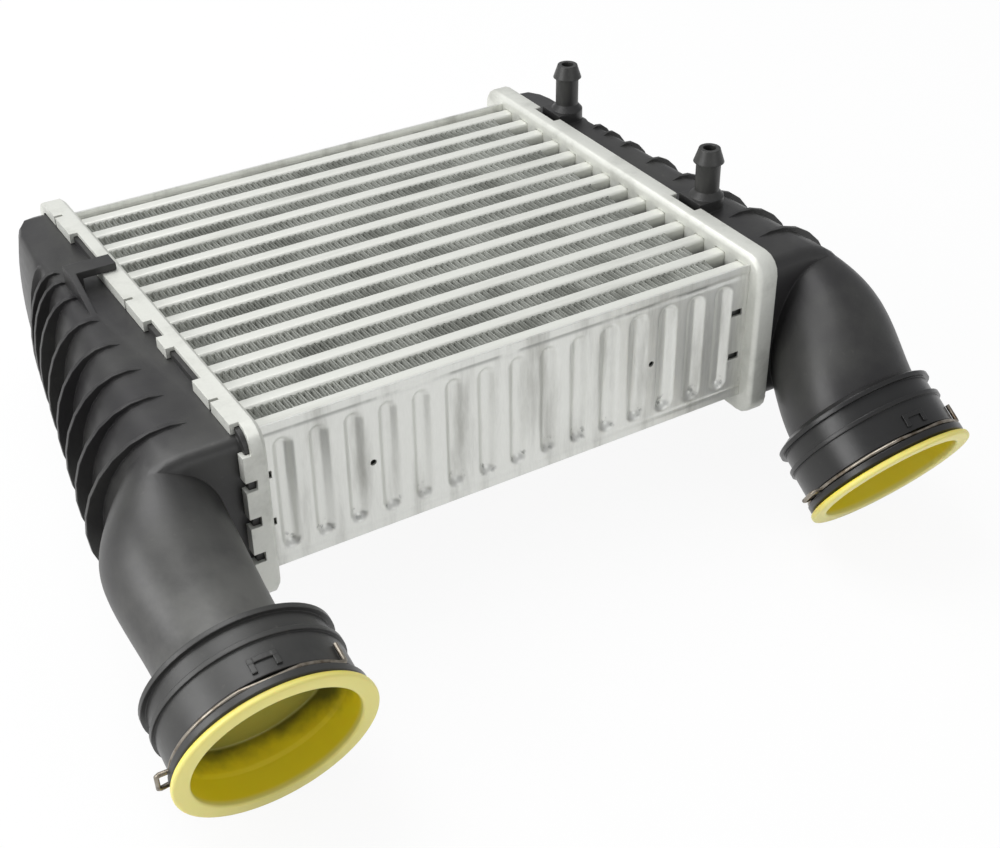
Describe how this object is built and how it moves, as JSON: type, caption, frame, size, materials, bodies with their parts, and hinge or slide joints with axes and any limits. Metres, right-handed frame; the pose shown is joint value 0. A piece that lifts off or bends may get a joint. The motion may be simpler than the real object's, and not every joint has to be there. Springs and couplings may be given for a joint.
{
  "type": "intercooler",
  "caption": "Side-mounted charge-air cooler: aluminium tube-and-fin core between moulded plastic end tanks, with tilted hose ports, wire clips, transport plugs, barbed pins and a hooked bracket",
  "frame": {"origin": "middle of the core's lower air face, between the two header plates and in the plane of the side plates' lower edges", "axes": "+X along the tubes from the left tank to the right one, +Y away from the hose ports across the stack of tubes, +Z out of the core's upper air face, the way the barbed pins stand"},
  "size_m": [0.3594, 0.3033, 0.1355],
  "materials": {
    "tank_plastic": "glass-filled nylon, fine grain, slightly shiny on the rib crests",
    "header_aluminium": "drawn sheet, dulled by the brazing furnace",
    "tube_aluminium": "brazed, matt silver grey",
    "fin_aluminium": "thin folded foil, matt",
    "plate_aluminium": "pressed sheet with faint brazing stains",
    "clip_steel": "spring wire, drawn",
    "plug_plastic": "soft translucent yellow polyethylene",
    "seal_rubber": "moulded black rubber"
  },
  "bodies": {
    "root": {"tube_01": "tube_aluminium", "turbulator_01": "fin_aluminium", "tube_02": "tube_aluminium", "turbulator_02": "fin_aluminium", "tube_03": "tube_aluminium", "turbulator_03": "fin_aluminium", "tube_04": "tube_aluminium", "turbulator_04": "fin_aluminium", "tube_05": "tube_aluminium", "turbulator_05": "fin_aluminium", "tube_06": "tube_aluminium", "turbulator_06": "fin_aluminium", "tube_07": "tube_aluminium", "turbulator_07": "fin_aluminium", "tube_08": "tube_aluminium", "turbulator_08": "fin_aluminium", "tube_09": "tube_aluminium", "turbulator_09": "fin_aluminium", "tube_10": "tube_aluminium", "turbulator_10": "fin_aluminium", "tube_11": "tube_aluminium", "turbulator_11": "fin_aluminium", "tube_12": "tube_aluminium", "turbulator_12": "fin_aluminium", "tube_13": "tube_aluminium", "turbulator_13": "fin_aluminium", "tube_14": "tube_aluminium", "turbulator_14": "fin_aluminium", "fin_01": "fin_aluminium", "fin_02": "fin_aluminium", "fin_03": "fin_aluminium", "fin_04": "fin_aluminium", "fin_05": "fin_aluminium", "fin_06": "fin_aluminium", "fin_07": "fin_aluminium", "fin_08": "fin_aluminium", "fin_09": "fin_aluminium", "fin_10": "fin_aluminium", "fin_11": "fin_aluminium", "fin_12": "fin_aluminium", "fin_13": "fin_aluminium", "front_side_plate": "plate_aluminium", "back_side_plate": "plate_aluminium", "left_header": "header_aluminium", "left_gasket": "seal_rubber", "left_tank": "tank_plastic", "left_port_seal": "seal_rubber", "left_wire_clip": "clip_steel", "left_plug": "plug_plastic", "right_header": "header_aluminium", "right_gasket": "seal_rubber", "right_tank": "tank_plastic", "right_port_seal": "seal_rubber", "right_wire_clip": "clip_steel", "right_plug": "plug_plastic"}
  },
  "joints": []
}
